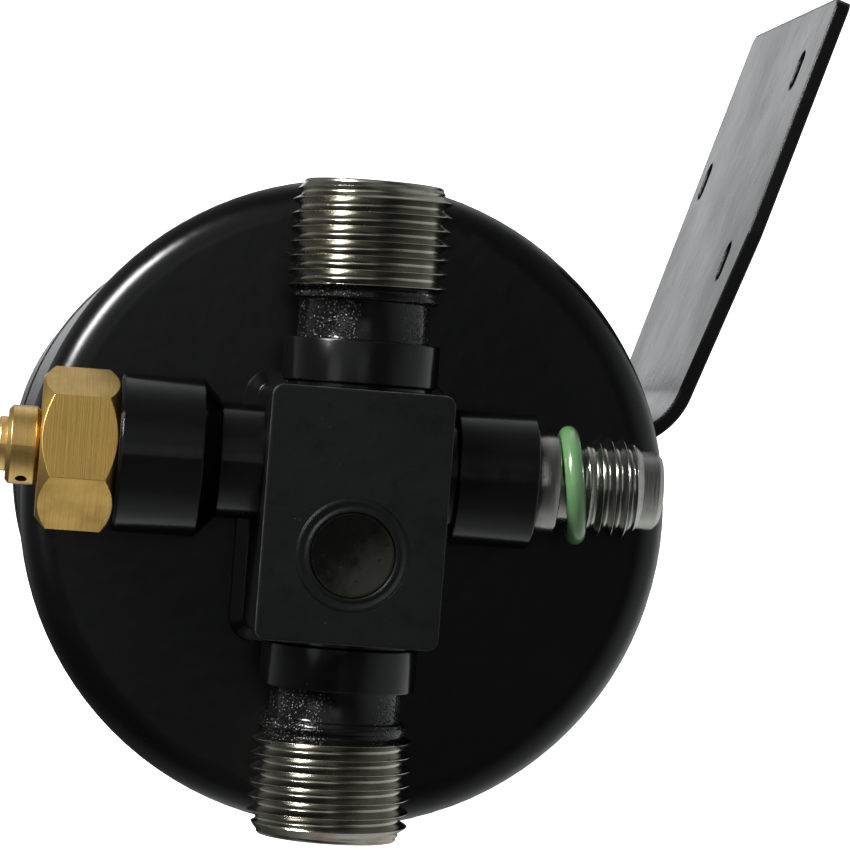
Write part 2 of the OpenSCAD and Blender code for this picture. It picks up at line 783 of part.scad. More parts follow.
module core_pin() {
    pin_top = core_top + core_pin_proud;
    pin_r = core_pin_d / 2;
    color([0.75, 0.74, 0.7]) on_switch_face() turned([
        [0, core_cup_bottom], [core_cup_d / 2, core_cup_bottom], [core_cup_d / 2, core_washer_bottom],
        [pin_r, core_washer_bottom], [pin_r, core_head_z], [core_head_d / 2, core_head_z],
        [core_head_d / 2, core_head_z + core_head_t], [pin_r, core_head_z + core_head_t],
        [pin_r, pin_top - fine_break], [pin_r - fine_break, pin_top], [0, pin_top]
    ]);
}

module core_washer() {
    color([0.1, 0.1, 0.1]) on_switch_face() difference() {
        translate([0, 0, core_washer_bottom])
            cylinder(d = core_cup_d - 2 * fine_break, h = core_washer_t);
        drill(core_pin_d + 2 * braze_gap, core_washer_bottom, core_bottom);
    }
}

module core_spring() {
    color([0.7, 0.7, 0.7]) on_switch_face() coil(
        core_head_d, core_wire, core_top - core_well_len, core_head_z, 4, 14
    );
}

// ---------- sight glass ----------

module sight_seal() {
    color([0.1, 0.1, 0.1]) translate([block_off_x, sight_y, sight_floor]) difference() {
        cylinder(d = sight_pocket_d - 2 * soft_gap, h = sight_seal_t);
        drill(sight_hole_d + 2 * soft_gap, 0, sight_seal_t);
    }
}

module sight_glass() {
    color([0.35, 0.36, 0.28, 0.6]) translate([block_off_x, sight_y, sight_floor + sight_seal_t])
        cylinder(d = sight_pocket_d - 2 * soft_gap, h = sight_glass_t);
}

module sight_ring() {
    ring_slope = 0.5;
    color([0.4, 0.4, 0.38])
        translate([block_off_x, sight_y, sight_floor + sight_seal_t + sight_glass_t]) difference() {
            cylinder(d = sight_pocket_d - 2 * braze_gap, h = sight_ring_t);
            drill(sight_clear_d, 0, sight_ring_t);
            translate([0, 0, sight_ring_t - ring_slope]) countersink(sight_clear_d, ring_slope);
        }
}

// ---------- inside the canister ----------

module pickup_tube() {
    top = head_z + tube_socket_len;
    color([0.7, 0.7, 0.68]) translate([block_off_x, outlet_y, 0]) difference() {
        translate([0, 0, tube_foot]) cylinder(d = tube_d, h = top - tube_foot);
        drill(tube_d - 2 * tube_t, tube_foot, top);
    }
}

// Screen cup around the tube's foot, with a collar that grips the tube and slots in its wall
module tube_strainer() {
    wall = 0.8;
    foot = tube_foot - strainer_gap;
    slots = 8;
    window = 2;
    rim = 2.5;
    color([0.6, 0.62, 0.6]) translate([block_off_x, outlet_y, foot]) difference() {
        cylinder(d = strainer_d, h = strainer_h);
        drill(strainer_d - 2 * wall, wall, strainer_h - wall);
        drill(tube_d + 2 * braze_gap, wall, strainer_h);
        for (i = [0:slots - 1]) rotate([0, 0, i * 360 / slots])
            translate([0, -window / 2, rim]) cube([strainer_d, window, strainer_h - 2 * rim]);
    }
}

module lower_plate() {
    color([0.6, 0.6, 0.58]) difference() {
        union() {
            translate([0, 0, lower_plate_z]) cylinder(r = stack_r, h = plate_t);
            difference() {
                translate([0, 0, floor_z]) cylinder(r = skirt_r, h = bed_floor + lap);
                drill(2 * (skirt_r - skirt_t), floor_z, lower_plate_z);
            }
        }
        plate_holes(lower_plate_z, lower_plate_z + plate_t);
        // windows that let the liquid through the skirt
        for (i = [0:3]) rotate([0, 0, 45 + 90 * i])
            translate([0, -skirt_window / 2, floor_z + skirt_foot])
                cube([can_r, skirt_window, bed_floor - skirt_foot - skirt_head]);
    }
}

module packed_disc(z, h) {
    difference() {
        translate([0, 0, z]) cylinder(r = stack_r, h = h);
        translate([block_off_x, outlet_y, 0]) drill(tube_d + 2 * soft_gap, z, z + h);
    }
}

module lower_pad() {
    color([0.85, 0.83, 0.75]) packed_disc(lower_pad_z, pad_t);
}

module desiccant_bed() {
    color([0.75, 0.7, 0.6]) packed_disc(bed_z, bed_h);
}

module upper_pad() {
    color([0.85, 0.83, 0.75]) packed_disc(upper_pad_z, pad_t);
}

module upper_plate() {
    color([0.6, 0.6, 0.58]) difference() {
        translate([0, 0, upper_plate_z]) cylinder(r = stack_r, h = plate_t);
        plate_holes(upper_plate_z, upper_plate_z + plate_t);
    }
}

module bed_spring() {
    color([0.5, 0.5, 0.5]) coil(bed_spring_d, bed_wire, bed_spring_z, ceiling_z, 4.5, 24, 8);
}

// ---------- mounting bracket ----------

// Points of an arc from angle a0 to a1, without its first point
function arc(centre, r, a0, a1) = [
    for (i = [1:bend_steps]) let (a = a0 + (a1 - a0) * i / bend_steps) centre + r * [cos(a), sin(a)]
];

// One side of the bent sheet, a distance s outwards from its middle: foot, two bends and plate
function strip_side(s) = concat(
    [(foot_r + s) * [cos(foot_start - foot_angle), sin(foot_start - foot_angle)]],
    arc([0, 0], foot_r + s, foot_start - foot_angle, foot_start),
    arc(foot_centre, foot_mid_r - s, foot_start + 180, join_angle + 180),
    arc(bend_centre, bend_mid_r + s, join_angle, 0),
    [[plate_mid + s, plate_end]]
);

function reversed(list) = [for (i = [len(list) - 1:-1:0]) list[i]];

module bracket_strip() {
    linear_extrude(plate_w)
        polygon(concat(strip_side(sheet_t / 2), reversed(strip_side(-sheet_t / 2))));
}

// Outline of the strip seen square to the plate: [along the plate, height]
module bracket_outline() {
    r = plate_corner_r;
    cut_start = hole_near + 3;
    root_z = plate_w - root_drop;
    difference() {
        union() {
            square([plate_end - r, plate_w]);
            translate([0, r]) square([plate_end, plate_w - 2 * r]);
            for (z = [r, plate_w - r]) translate([plate_end - r, z]) circle(r = r);
        }
        // the top edge falls towards the bend
        polygon([
            [cut_start, plate_w + lap], [cut_start, plate_w], [plate_root, root_z], [-lap, root_z],
            [-lap, plate_w + lap]
        ]);
    }
}

module mount_bracket() {
    color([0.08, 0.08, 0.08]) on_bracket() translate([0, 0, plate_bottom_z]) difference() {
        intersection() {
            bracket_strip();
            rotate([90, 0, 90]) linear_extrude(2 * can_r) bracket_outline();
        }
        for (h = [
            [hole_near, plate_w - hole_top],
            [hole_near + hole_pitch, plate_w - hole_top],
            [hole_near + hole_pitch / 2, plate_w - hole_top - hole_drop]
        ])
            translate([plate_face - 2 * sheet_t, h[0], h[1]]) plate_slot();
    }
}

// Cutter for a round-ended slot through the plate, across local X
module plate_slot() {
    reach = (slot_len - slot_w) / 2;
    depth = 3 * sheet_t;
    translate([0, -reach, -slot_w / 2]) cube([depth, 2 * reach, slot_w]);
    for (side = [-1, 1]) translate([0, side * reach, 0]) rotate([0, 90, 0])
        cylinder(d = slot_w, h = depth);
}

// A bead that follows the canister along one edge of the foot
module foot_bead(z, side) {
    on_bracket() rotate([0, 0, foot_start - foot_angle]) translate([0, 0, z])
        rotate_extrude(angle = foot_angle)
            polygon([[can_r, 0], [can_r + bracket_bead, 0], [can_r, side * bracket_bead]]);
}

module bracket_weld_top() {
    color([0.1, 0.1, 0.1]) foot_bead(plate_top_z - root_drop, 1);
}

module bracket_weld_bottom() {
    color([0.1, 0.1, 0.1]) foot_bead(plate_bottom_z, -1);
}

lower_shell();
upper_shell();
girth_weld();
header_block();
block_weld();
inlet_fitting();
outlet_fitting();
relief_boss();
relief_body();
relief_oring();
relief_poppet();
relief_seal();
relief_spring();
relief_cap();
relief_end_plug();
switch_boss();
switch_adapter();
switch_oring();
core_barrel();
core_gasket();
core_pin();
core_washer();
core_spring();
sight_glass();
sight_ring();
sight_seal();
pickup_tube();
tube_strainer();
lower_plate();
lower_pad();
desiccant_bed();
upper_pad();
upper_plate();
bed_spring();
mount_bracket();
bracket_weld_top();
bracket_weld_bottom();
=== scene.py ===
# Looks of the receiver-drier: materials, helical threads, worn paint, studio and camera.
import math

import bmesh
import bpy
import numpy as np
from mathutils import Matrix, Vector


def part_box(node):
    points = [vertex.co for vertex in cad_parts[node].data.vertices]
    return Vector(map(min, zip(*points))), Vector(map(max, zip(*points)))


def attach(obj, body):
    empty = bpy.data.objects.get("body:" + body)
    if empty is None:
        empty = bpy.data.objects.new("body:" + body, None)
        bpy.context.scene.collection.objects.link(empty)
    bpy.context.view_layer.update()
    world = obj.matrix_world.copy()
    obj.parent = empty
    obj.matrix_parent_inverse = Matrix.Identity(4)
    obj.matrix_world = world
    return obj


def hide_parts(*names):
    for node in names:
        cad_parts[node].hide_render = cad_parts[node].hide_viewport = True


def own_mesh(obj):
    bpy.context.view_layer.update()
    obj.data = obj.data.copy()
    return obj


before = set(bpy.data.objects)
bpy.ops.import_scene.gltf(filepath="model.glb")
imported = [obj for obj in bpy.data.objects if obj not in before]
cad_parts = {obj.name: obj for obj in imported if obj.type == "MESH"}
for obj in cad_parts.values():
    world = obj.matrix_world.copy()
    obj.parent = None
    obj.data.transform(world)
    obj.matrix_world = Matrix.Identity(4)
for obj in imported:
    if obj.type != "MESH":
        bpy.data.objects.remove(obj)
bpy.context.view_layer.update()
MM = 0.001
ROW = Vector((0, 0, 0.249))  # where the axes of the ports and valves cross, in metres


# ---------- node helpers ----------

class Nodes:
    """A node tree with short names for the nodes used below."""

    def __init__(self, tree, coord):
        self.tree = tree
        self.tree.nodes.clear()
        self.coord = self.add("ShaderNodeTexCoord").outputs[coord]

    def add(self, kind, **props):
        node = self.tree.nodes.new(kind)
        for k, v in props.items():
            setattr(node, k, v)
        return node

    def link(self, a, b):
        self.tree.links.new(a, b)

    def part(self, vector, index):
        n = self.add("ShaderNodeSeparateXYZ")
        self.link(vector, n.inputs[0])
        return n.outputs[index]

    def feed(self, socket, value):
        if isinstance(value, bpy.types.NodeSocket):
            self.link(value, socket)
        elif isinstance(value, (tuple, list)) and len(value) == 3 and socket.type == "RGBA":
            socket.default_value = (*value, 1)
        else:
            socket.default_value = value

    def set(self, **values):
        for k, v in values.items():
            self.feed(self.bsdf.inputs[k.replace("_", " ")], v)

    def noise(self, scale, detail=2.0, rough=0.5, vector=None):
        n = self.add("ShaderNodeTexNoise")
        self.link(vector or self.coord, n.inputs["Vector"])
        n.inputs["Scale"].default_value = scale
        n.inputs["Detail"].default_value = detail
        n.inputs["Roughness"].default_value = rough
        return n.outputs["Fac"]

    def spots(self, scale):
        n = self.add("ShaderNodeTexVoronoi")
        self.link(self.coord, n.inputs["Vector"])
        n.inputs["Scale"].default_value = scale
        return n.outputs["Distance"]

    def flecks(self, scale, size, area_scale, low, high):
        """Round flecks, only where a slower noise passes from low to high."""
        dots = self.ramp(self.spots(scale), (0.0, 1.0), (size, 0.0))
        area = self.ramp(self.noise(area_scale, 3), (low, 0.0), (high, 1.0))
        return self.math("MULTIPLY", dots, area)

    def ramp(self, value, *stops):
        n = self.add("ShaderNodeValToRGB")
        self.link(value, n.inputs["Fac"])
        el = n.color_ramp.elements
        while len(el) < len(stops):
            el.new(0.5)
        for e, (p, c) in zip(el, stops):
            e.position = p
            e.color = (c, c, c, 1) if not isinstance(c, (tuple, list)) else (*c, 1)
        return n.outputs["Color"]

    def math(self, op, a, b=0.0, c=None, clamp=False):
        n = self.add("ShaderNodeMath", operation=op, use_clamp=clamp)
        for s, v in zip(n.inputs, (a, b, c)):
            if v is not None:
                self.feed(s, v)
        return n.outputs[0]

    def mix(self, fac, a, b):
        n = self.add("ShaderNodeMix", data_type="RGBA")
        self.feed(n.inputs["Factor"], fac)
        self.feed(n.inputs[6], a)
        self.feed(n.inputs[7], b)
        return n.outputs[2]

    def stretch(self, sx, sy, sz):
        n = self.add("ShaderNodeMapping")
        self.link(self.coord, n.inputs["Vector"])
        n.inputs["Scale"].default_value = (sx, sy, sz)
        return n.outputs["Vector"]

    def bump(self, height, strength, distance, normal=None):
        n = self.add("ShaderNodeBump")
        self.feed(n.inputs["Height"], height)
        n.inputs["Strength"].default_value = strength
        n.inputs["Distance"].default_value = distance
        if normal is not None:
            self.link(normal, n.inputs["Normal"])
        return n.outputs["Normal"]

    def bevel(self, radius):
        n = self.add("ShaderNodeBevel", samples=6)
        n.inputs["Radius"].default_value = radius
        return n.outputs["Normal"]


class Material(Nodes):
    """A material with one Principled shader."""

    def __init__(self, name):
        self.mat = bpy.data.materials.new(name)
        self.mat.use_nodes = True
        super().__init__(self.mat.node_tree, "Object")
        self.bsdf = self.add("ShaderNodeBsdfPrincipled")
        self.link(self.bsdf.outputs["BSDF"], self.add("ShaderNodeOutputMaterial").inputs["Surface"])


def edge_mask(n, radius, full=0.70, none=0.985):
    """1 near an edge and 0 on flat faces, from how far a bevel turns the normal."""
    bevel = n.bevel(radius)
    geo = n.add("ShaderNodeNewGeometry")
    dot = n.add("ShaderNodeVectorMath", operation="DOT_PRODUCT")
    n.link(bevel, dot.inputs[0])
    n.link(geo.outputs["Normal"], dot.inputs[1])
    return n.ramp(dot.outputs["Value"], (full, 1.0), (none, 0.0))


# ---------- materials ----------

def paint(name, base=0.006, rough=0.18, edges=0.0, edge_r=0.5, speck=0.5, peel=0.05, ior=1.3):
    """Black enamel: faint orange peel, dust specks, uneven gloss and thin worn edges."""
    n = Material(name)
    cloud = n.noise(45, 4, 0.6)
    fine = n.noise(900, 2, 0.5)
    dust = n.math("MULTIPLY", n.flecks(1500, 0.10, 130, 0.60, 0.72), speck)
    col = n.mix(cloud, (base * 0.8, base * 0.8, base * 0.82),
                (base * 1.25, base * 1.25, base * 1.28))
    col = n.mix(dust, col, (0.22, 0.22, 0.2))
    if edges:
        rim = n.math("MULTIPLY", edge_mask(n, edge_r * MM), edges)
        col = n.mix(rim, col, (0.12, 0.125, 0.125))
    r = n.math("ADD", n.math("MULTIPLY", n.ramp(cloud, (0.3, 0.0), (0.7, 1.0)), 0.10), rough)
    r = n.math("ADD", r, n.math("MULTIPLY", dust, 0.4))
    peel_h = n.math("ADD", n.noise(520, 1, 0.4), n.math("MULTIPLY", fine, 0.25))
    normal = n.bump(peel_h, peel, 0.0004, n.bevel(edge_r * MM))
    n.set(Base_Color=col, Roughness=r, Normal=normal, IOR=ior)
    return n.mat


def satin_block(name, edges=0.8):
    """The block's satin paint: dark grey, side walls painted near black as painted shade, lighter
    outer edges (partly wear, partly a painted highlight) and dust.
    """
    n = Material(name)
    cloud = n.noise(120, 5, 0.6)
    mott = n.noise(420, 4, 0.6)
    dust = n.flecks(1100, 0.09, 160, 0.52, 0.66)
    col = n.mix(cloud, (0.0040, 0.0046, 0.0045), (0.0085, 0.0096, 0.0092))
    col = n.mix(n.ramp(mott, (0.50, 0.0), (0.72, 0.7)), col, (0.002, 0.002, 0.002))
    # painted shade: faces that don't point up, the side walls, are painted near black
    facing = n.part(n.add("ShaderNodeNewGeometry").outputs["Normal"], 2)
    top = n.ramp(facing, (0.60, 0.0), (0.85, 1.0))
    col = n.mix(top, (0.003, 0.003, 0.003), col)
    # a lighter line on the upward outer edges: partly worn paint, partly a painted highlight
    edge = edge_mask(n, 0.22 * MM, 0.93, 0.992)
    edge_break = n.ramp(n.noise(420, 4), (0.34, 0.35), (0.60, 1.0))
    edge = n.math("MULTIPLY", n.math("MULTIPLY", edge, edge_break), top)
    # the hole for the sight glass gets no lighter edge line
    low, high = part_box("sight_ring")
    x = n.math("SUBTRACT", n.part(n.coord, 0), (low.x + high.x) / 2)
    y = n.math("SUBTRACT", n.part(n.coord, 1), (low.y + high.y) / 2)
    away = n.math("SQRT", n.math("ADD", n.math("MULTIPLY", x, x), n.math("MULTIPLY", y, y)))
    edge = n.math("MULTIPLY", edge, n.math("GREATER_THAN", away, 6.5 * MM))
    # the edge line is painted lighter: wear and painted highlight
    col = n.mix(n.math("MULTIPLY", edge, edges), col, (0.10, 0.105, 0.10))
    col = n.mix(n.math("MULTIPLY", dust, 0.5), col, (0.2, 0.2, 0.19))
    r = n.math("ADD", n.math("MULTIPLY", cloud, 0.16), 0.34)
    normal = n.bump(n.math("ADD", mott, n.math("MULTIPLY", n.noise(1500, 2), 0.6)), 0.10, 0.0003,
                    n.bevel(0.45 * MM))
    n.set(Base_Color=col, Roughness=r, Normal=normal, IOR=1.33)
    return n.mat


def overspray(name):
    """Black paint on the ports' necks: round beads left and right with painted glints at their
    centres, smooth between them.
    """
    n = Material(name)
    beads = n.spots(3600)
    dome = n.ramp(n.math("MULTIPLY", beads, beads), (0.0, 1.0), (0.22, 0.0))
    across = n.part(n.coord, 0)
    left = n.math("MULTIPLY_ADD", across, -700.0, -0.9, clamp=True)
    right = n.math("MULTIPLY_ADD", across, 600.0, -1.3, clamp=True)
    patchy = n.ramp(n.noise(330, 3), (0.36, 0.25), (0.56, 1.0))
    area = n.math("MULTIPLY", n.math("ADD", left, n.math("MULTIPLY", right, 0.85)), patchy)
    normal = n.bump(n.math("MULTIPLY", dome, area), 0.9, 0.000075, n.bevel(0.1 * MM))
    col = n.mix(n.noise(300, 3), (0.0025, 0.0025, 0.0025), (0.006, 0.0058, 0.0055))
    # painted glints: pale dots at the bead centres stand in for the beads' sparkle
    painted_glint = n.math("MULTIPLY", n.ramp(beads, (0.10, 1.0), (0.30, 0.0)), area)
    painted_glint = n.math("MULTIPLY", painted_glint, n.ramp(n.noise(2600, 1), (0.44, 0.0), (0.56, 1.0)))
    col = n.mix(n.math("MULTIPLY", painted_glint, 0.9), col, (0.34, 0.34, 0.32))
    n.set(Base_Color=col, Roughness=0.14, Normal=normal, IOR=1.36)
    return n.mat


def oily_steel(name, axis, tint, dark):
    """Bare turned steel with a thin brown oil film, pits and nicks along its crests."""
    n = Material(name)
    cloud = n.noise(180, 5, 0.65)
    pits = n.flecks(1900, 0.16, 330, 0.50, 0.64)
    grain = n.noise(1.0, 3, 0.6, n.stretch(*[5200 if i == axis else 420 for i in range(3)]))
    stain = n.ramp(n.noise(95, 4, 0.6), (0.36, 0.0), (0.62, 1.0))
    col = n.mix(cloud, tint, tuple(c * 0.72 for c in tint))
    col = n.mix(n.math("MULTIPLY", stain, 0.45), col, dark)
    col = n.mix(n.math("MULTIPLY", pits, 0.8), col, (0.02, 0.017, 0.014))
    r = n.math("ADD", n.math("MULTIPLY", cloud, 0.18), 0.14)
    r = n.math("ADD", r, n.math("MULTIPLY", pits, 0.3))
    h = n.math("SUBTRACT", n.math("MULTIPLY", grain, 0.5), n.math("MULTIPLY", pits, 1.2))
    if axis == 1:
        # a rusty stain towards the outlet's end
        end = n.math("MULTIPLY_ADD", n.part(n.coord, 1), -330.0, -9.9, clamp=True)
        end = n.math("MULTIPLY", end, n.ramp(n.noise(210, 4, 0.6), (0.44, 0.0), (0.60, 1.0)))
        col = n.mix(n.math("MULTIPLY", end, 0.75), col, (0.20, 0.085, 0.05))
    normal = n.bump(h, 0.22, 0.0002, n.bevel(0.06 * MM))
    n.set(Base_Color=col, Metallic=1.0, Roughness=r, Normal=normal)
    return n.mat


def turned_metal(name, tint, dark, rough, axis=0, edge=0.3):
    """Turned metal: fine rings round the axis, tarnish and brighter edges."""
    n = Material(name)
    rings = n.noise(1.0, 2, 0.7, n.stretch(*[7000 if i == axis else 90 for i in range(3)]))
    tarnish = n.ramp(n.noise(230, 5, 0.62), (0.34, 0.0), (0.70, 1.0))
    fine = n.noise(2400, 3, 0.6)
    col = n.mix(n.math("MULTIPLY", tarnish, 0.35), tint, dark)
    col = n.mix(n.math("MULTIPLY", n.ramp(rings, (0.40, 0.0), (0.66, 1.0)), 0.30), col, dark)
    if edge:
        col = n.mix(n.math("MULTIPLY", edge_mask(n, 0.14 * MM), edge), col,
                    tuple(min(1.0, c * 1.35) for c in tint))
    r = n.math("ADD", n.math("MULTIPLY", tarnish, 0.14), rough)
    r = n.math("ADD", r, n.math("MULTIPLY", rings, 0.06))
    normal = n.bump(n.math("ADD", rings, n.math("MULTIPLY", fine, 0.3)), 0.16, 0.00012,
                    n.bevel(0.12 * MM))
    n.set(Base_Color=col, Metallic=1.0, Roughness=r, Normal=normal)
    return n.mat


def soft_matt(name, a, b, scale, rough=0.75, bump=0.25, depth=0.0003, sheen=0.0):
    """Rubber, felt or beads: two-tone grain with a matching bump."""
    n = Material(name)
    grain = n.noise(scale, 5, 0.6)
    pores = n.spots(scale * 4)
    col = n.mix(grain, a, b)
    r = n.math("ADD", n.math("MULTIPLY", grain, 0.15), rough - 0.07)
    normal = n.bump(n.math("ADD", grain, n.math("MULTIPLY", pores, 0.4)), bump, depth)
    n.set(Base_Color=col, Roughness=r, Normal=normal, Sheen_Weight=sheen)
    return n.mat


def port_glass(name):
    """Aged sight glass: dark olive, painted paler towards +X and -Y as painted light on the dished
    glass, pits and bubbles.
    """
    n = Material(name)
    low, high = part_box("sight_glass")
    cx, cy = (low.x + high.x) / 2, (low.y + high.y) / 2
    cloud = n.noise(420, 5, 0.65)
    x = n.math("MULTIPLY", n.math("SUBTRACT", n.part(n.coord, 0), cx), 150.0)
    y = n.math("MULTIPLY", n.math("SUBTRACT", n.part(n.coord, 1), cy), -150.0)
    # painted light: the glass is painted paler towards +X and -Y, as the lit side of its dish
    side = n.math("ADD", n.math("ADD", x, y), n.math("MULTIPLY_ADD", cloud, 1.6, -0.75))
    painted_lit_side = n.ramp(n.math("MULTIPLY_ADD", side, 0.5, 0.5, clamp=True), (0.45, 0.0), (0.75, 1.0))
    pits = n.flecks(1500, 0.22, 480, 0.48, 0.56)
    specks = n.flecks(1900, 0.13, 420, 0.50, 0.60)
    col = n.mix(cloud, (0.0022, 0.0022, 0.0011), (0.0046, 0.0046, 0.0026))
    col = n.mix(n.math("MULTIPLY", painted_lit_side, 0.85), col, (0.017, 0.017, 0.012))
    col = n.mix(n.math("MULTIPLY", pits, 0.8), col, (0.001, 0.001, 0.0008))
    col = n.mix(n.math("MULTIPLY", specks, 0.6), col, (0.08, 0.08, 0.062))
    r = n.math("ADD", n.math("MULTIPLY", cloud, 0.25), 0.12)
    normal = n.bump(n.math("SUBTRACT", n.noise(700, 4), pits), 0.18, 0.0002)
    n.set(Base_Color=col, Roughness=r, Normal=normal, IOR=1.33)
    return n.mat


BLACK = paint("black_enamel", base=0.0028, rough=0.11, edges=0.12, edge_r=0.25, ior=1.36)
SHELL = paint("shell_enamel", base=0.0024, rough=0.20, edge_r=0.6, speck=0.25, peel=0.05, ior=1.4)
PLATE = paint("bracket_enamel", base=0.004, rough=0.20, edges=0.10, edge_r=0.45, speck=0.9,
              peel=0.07, ior=1.4)
# both satin paints carry painted shade on their side walls
BLOCK = satin_block("block_satin")
SEAT = satin_block("seat_satin", 0.0)
NECK = overspray("overspray")
STEEL_Y = oily_steel("oily_steel_y", 1, (0.37, 0.36, 0.315), (0.070, 0.067, 0.052))
STEEL_X = oily_steel("oily_steel_x", 0, (0.37, 0.37, 0.34), (0.08, 0.077, 0.065))
BRASS = turned_metal("brass_turned", (0.52, 0.36, 0.125), (0.26, 0.155, 0.042), 0.30)
BRIGHT = turned_metal("brass_bright", (0.62, 0.44, 0.18), (0.32, 0.205, 0.073), 0.24)
DISC = turned_metal("plug_brass", (0.72, 0.52, 0.24), (0.36, 0.24, 0.09), 0.28)
SPRING = turned_metal("spring_wire", (0.55, 0.55, 0.54), (0.25, 0.25, 0.25), 0.25, edge=0)
PLAIN = turned_metal("plain_metal", (0.58, 0.58, 0.56), (0.32, 0.32, 0.31), 0.36, axis=2, edge=0.2)
RUBBER = soft_matt("black_rubber", (0.010, 0.010, 0.010), (0.018, 0.018, 0.018), 900, 0.6, 0.12)
GREEN = soft_matt("green_rubber", (0.092, 0.178, 0.082), (0.122, 0.222, 0.110), 600, 0.22, 0.08,
                  0.00015)
GASKET = soft_matt("red_seal", (0.45, 0.07, 0.04), (0.58, 0.12, 0.06), 700, 0.5)
FELT = soft_matt("felt_pad", (0.62, 0.60, 0.52), (0.80, 0.78, 0.70), 900, 0.95, 0.5, 0.0006, 0.3)
BEADS = soft_matt("desiccant_beads", (0.50, 0.44, 0.32), (0.74, 0.68, 0.54), 300, 0.85, 0.7, 0.0010)
GLASS = port_glass("sight_glass_aged")

LOOKS = {
    SHELL: ["lower_shell", "upper_shell", "girth_weld"],
    BLACK: ["block_weld", "relief_boss", "switch_boss", "bracket_weld_top", "bracket_weld_bottom"],
    PLATE: ["mount_bracket"],
    BLOCK: ["header_block", "sight_ring"],
    BRASS: ["relief_body"],
    BRIGHT: ["relief_cap", "relief_poppet", "core_barrel"],
    DISC: ["relief_end_plug"],
    RUBBER: ["relief_oring", "relief_seal", "sight_seal", "core_washer"],
    SPRING: ["relief_spring", "core_spring", "bed_spring", "core_pin"],
    PLAIN: ["pickup_tube", "tube_strainer", "lower_plate", "upper_plate"],
    GREEN: ["switch_oring"],
    GASKET: ["core_gasket"],
    FELT: ["lower_pad", "upper_pad"],
    BEADS: ["desiccant_bed"],
    GLASS: ["sight_glass"],
    STEEL_Y: ["inlet_fitting", "outlet_fitting"],
    STEEL_X: ["switch_adapter"],
}
for mat, names in LOOKS.items():
    for name in names:
        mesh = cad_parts[name].data
        mesh.materials.clear()
        mesh.materials.append(mat)


# ---------- turned pieces with true helical threads ----------

THREAD_DEPTH = 0.6134  # of the pitch
END_CHAMFER = 0.85  # radius lost per length towards the thread's end


def helix(major, end_d, pitch, z0, z_end, seed, phase, growth):
    """The profile, turns and vertex rule of a right-handed 60 degree thread from z0 to z_end.
    Phase shifts it in turns, and its crests grow to full height over that many turns."""
    top = major / 2
    root = top - THREAD_DEPTH * pitch
    # share of the pitch, share of the thread's depth
    profile = ((0.0, 0.0), (0.08, 0.0), (0.12, 0.04), (0.29, 0.48), (0.455, 0.95),
               (0.48, 1.0), (0.52, 1.0), (0.545, 0.95), (0.71, 0.48), (0.88, 0.04), (0.92, 0.0))
    turns = math.ceil((z_end - z0) / pitch) + 1
    rng = np.random.default_rng(seed)
    # nicks in the crests: angle, height, size and depth
    dents = [(rng.uniform(0, 2 * math.pi), rng.uniform(z0, z_end), rng.uniform(0.05, 0.16),
              rng.uniform(0.03, 0.10)) for _ in range(26)]

    def vert(turn, u, h, a):
        z = z0 + (turn + u + phase + a / (2 * math.pi)) * pitch
        z = min(max(z, z0), z_end)
        grow = min(1.0, max(0.0, (z - z0) / (growth * pitch)))
        r = root + (top - root) * h * grow
        r = min(r, end_d / 2 + (z_end - z) * END_CHAMFER)
        if h > 0.85:  # only the crests have nicks
            for da, dz, size, depth in dents:
                near = ((((a - da + math.pi) % (2 * math.pi)) - math.pi) * top) ** 2 + (z - dz) ** 2
                if near < (3 * size) ** 2:
                    r -= depth * math.exp(-near / (size * size))
        return r, z

    return profile, turns, vert


def threaded_piece(name, place, before, after, thread, mats, steel, sides, painted=0.0):
    """Rows up to the thread's end, the helical thread, then the rows on its other side.
    before and after are lists of (radius, z, material); the thread joins them at its two ends.
    The bare thread has material steel. Up to the height painted it wears the neck's paint,
    with a ragged border."""
    profile, turns, vert = thread
    bm = bmesh.new()
    angles = [2 * math.pi * k / sides for k in range(sides)]

    def ring(r, z):
        return [bm.verts.new((r * math.cos(a), r * math.sin(a), z)) for a in angles]

    def skin(low, high, material):
        for k in range(sides):
            n = (k + 1) % sides
            f = bm.faces.new((low[k], low[n], high[n], high[k]))
            f.material_index = material

    def stack(turned_rows):
        last = None
        for r, z, material in turned_rows:
            now = ring(r, z)
            if last:
                skin(last, now, material)
            last = now
        return last

    last = stack(before)
    rows = []
    for turn in range(-2, turns):
        for u, h in profile:
            row = []
            for a in angles:
                r, z = vert(turn, u, h, a)
                row.append(bm.verts.new((r * math.cos(a), r * math.sin(a), z)))
            rows.append(row)
    per_turn = len(profile)

    def coat(vert, k):
        a = angles[k]
        border = (painted + 0.12 * math.sin(3 * a + 1) + 0.08 * math.sin(11 * a)
                  + 0.06 * math.sin(29 * a))
        return 1 if painted and vert.co.z < border else steel

    skin(last, rows[0], 1 if painted else steel)
    for i in range(len(rows) - 1):
        for k in range(sides - 1):
            f = bm.faces.new((rows[i][k], rows[i][k + 1], rows[i + 1][k + 1], rows[i + 1][k]))
            f.material_index = coat(rows[i][k], k)
        lo, hi = i + per_turn, i + 1 + per_turn
        if hi < len(rows):
            f = bm.faces.new((rows[i][-1], rows[lo][0], rows[hi][0], rows[i + 1][-1]))
            f.material_index = coat(rows[i][-1], sides - 1)
    stack(after)
    bmesh.ops.remove_doubles(bm, verts=bm.verts, dist=2e-4)
    bmesh.ops.dissolve_degenerate(bm, edges=bm.edges, dist=1e-5)
    bmesh.ops.recalc_face_normals(bm, faces=bm.faces)
    for f in bm.faces:
        f.smooth = True
    mesh = bpy.data.meshes.new(name)
    bm.to_mesh(mesh)
    bm.free()
    mesh.transform(place @ Matrix.Scale(MM, 4))
    mesh.set_sharp_from_angle(angle=math.radians(42))
    for m in mats:
        mesh.materials.append(m)
    obj = bpy.data.objects.new(name, mesh)
    bpy.context.scene.collection.objects.link(obj)
    return obj


block_low, block_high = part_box("header_block")


